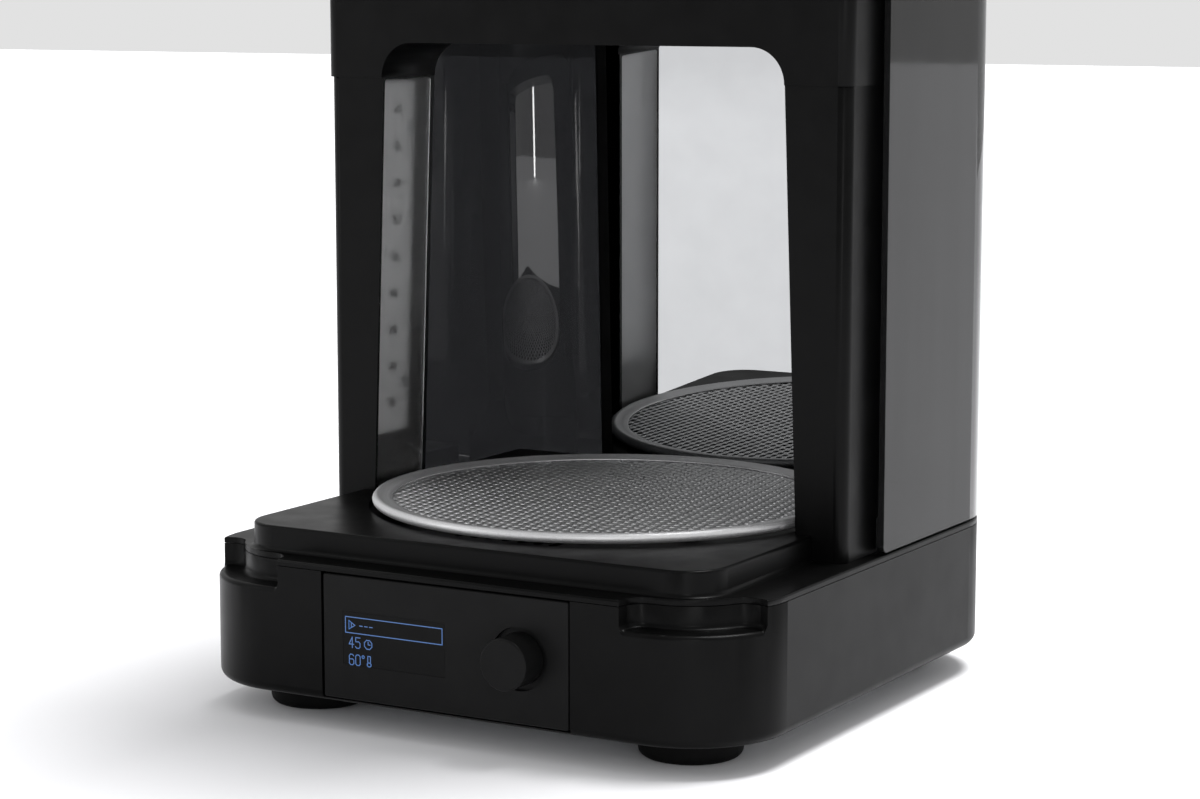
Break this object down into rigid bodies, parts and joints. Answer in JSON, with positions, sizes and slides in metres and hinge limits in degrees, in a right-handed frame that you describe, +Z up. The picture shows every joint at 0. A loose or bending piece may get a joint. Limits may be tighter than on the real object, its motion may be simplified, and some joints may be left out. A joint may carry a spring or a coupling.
{
  "type": "uv curing lamp",
  "caption": "Desktop UV curing station: square base with display and knob, mesh turntable, LED columns, mirror, smoked shells and a hood that swings up.",
  "frame": {"origin": "on the floor, on the turntable's axis at the middle of the base", "axes": "+Z up along the turntable's axis; -Y towards the front, where the display and knob are; +X to the right seen from the front"},
  "size_m": [0.262, 0.286, 0.562],
  "materials": {
    "black_plastic": "fine moulded texture, satin black",
    "panel_plastic": "smooth satin fascia",
    "smoked_plastic": "dark smoked acrylic, glossy",
    "knob_plastic": "satin black knob",
    "rubber": "matt moulded rubber",
    "zinc_steel": "zinc plated sheet and screws",
    "rim_steel": "rolled bright steel",
    "mesh_steel": "bright expanded steel mesh",
    "mirror": "mirror sheet",
    "led_window": "satin light-grey diffuser",
    "led_board": "aluminium circuit board",
    "led_chip": "LED package",
    "circuit_board": "solder mask",
    "electronics": "moulded components",
    "display_glass": "dark display window",
    "motor_steel": "pressed steel motor can",
    "white_plastic": "engineering plastic",
    "duct_plastic": "heat resistant moulding",
    "heater_aluminium": "finned heater"
  },
  "bodies": {
    "machine": {"base_housing": "black_plastic", "top_deck": "black_plastic", "bottom_plate": "zinc_steel", "rubber_feet": "rubber", "foot_screws": "zinc_steel", "case_screws": "zinc_steel", "control_panel": "panel_plastic", "display_window": "display_glass", "display_module": "circuit_board", "encoder_body": "motor_steel", "gear_motor": "motor_steel", "motor_bracket": "zinc_steel", "motor_screws": "zinc_steel", "air_duct": "duct_plastic", "fan_frame": "duct_plastic", "heater_core": "heater_aluminium", "main_board": "circuit_board", "board_standoffs": "zinc_steel", "board_components": "electronics", "power_inlet": "electronics", "cover_sensor": "electronics", "right_column": "black_plastic", "left_column": "black_plastic", "right_led_board": "led_board", "left_led_board": "led_board", "right_leds": "led_chip", "left_leds": "led_chip", "right_led_window": "led_window", "left_led_window": "led_window", "led_screws": "zinc_steel", "column_screws": "zinc_steel", "head_housing": "black_plastic", "roof_cover": "black_plastic", "rear_spine": "black_plastic", "spine_screws": "zinc_steel", "mirror_panel": "mirror", "rear_cover": "black_plastic", "right_shell": "smoked_plastic", "left_shell": "smoked_plastic", "shell_screws": "zinc_steel", "hinge_brackets": "zinc_steel", "hinge_pins": "zinc_steel"},
    "turntable_drive": {"drive_shaft": "zinc_steel", "turntable_hub": "white_plastic"},
    "tray": {"turntable_spider": "black_plastic", "turntable_mesh": "mesh_steel", "turntable_rim": "rim_steel"},
    "encoder": {"encoder_rotor": "white_plastic"},
    "knob": {"encoder_shaft": "zinc_steel", "knob": "knob_plastic"},
    "fan": {"fan_rotor": "duct_plastic"},
    "hood": {"hood_shell": "smoked_plastic", "hood_top": "black_plastic", "hinge_arms": "zinc_steel", "hood_screws": "zinc_steel", "hood_magnet": "electronics"}
  },
  "joints": [
    {"name": "turntable_spin", "type": "hinge", "parent": "machine", "child": "turntable_drive", "pos_m": [0, 0, 0.075], "axis": [0, 0, 1], "continuous": true},
    {"name": "tray_lift", "type": "slide", "parent": "turntable_drive", "child": "tray", "axis": [0, 0, 1], "range_m": [0, 0.02]},
    {"name": "knob_spin", "type": "hinge", "parent": "machine", "child": "encoder", "pos_m": [0.0352, -0.12, 0.0402], "axis": [0, 1, 0], "continuous": true},
    {"name": "knob_push", "type": "slide", "parent": "encoder", "child": "knob", "axis": [0, 1, 0], "range_m": [0, 0.0008], "stiffness_N_per_m": 3000},
    {"name": "fan_spin", "type": "hinge", "parent": "machine", "child": "fan", "pos_m": [0, 0.059, 0.048], "axis": [0, 0, 1], "continuous": true},
    {"name": "hood_hinge", "type": "hinge", "parent": "machine", "child": "hood", "pos_m": [0, 0.12, 0.311], "axis": [1, 0, 0], "range_deg": [0, 90]}
  ]
}
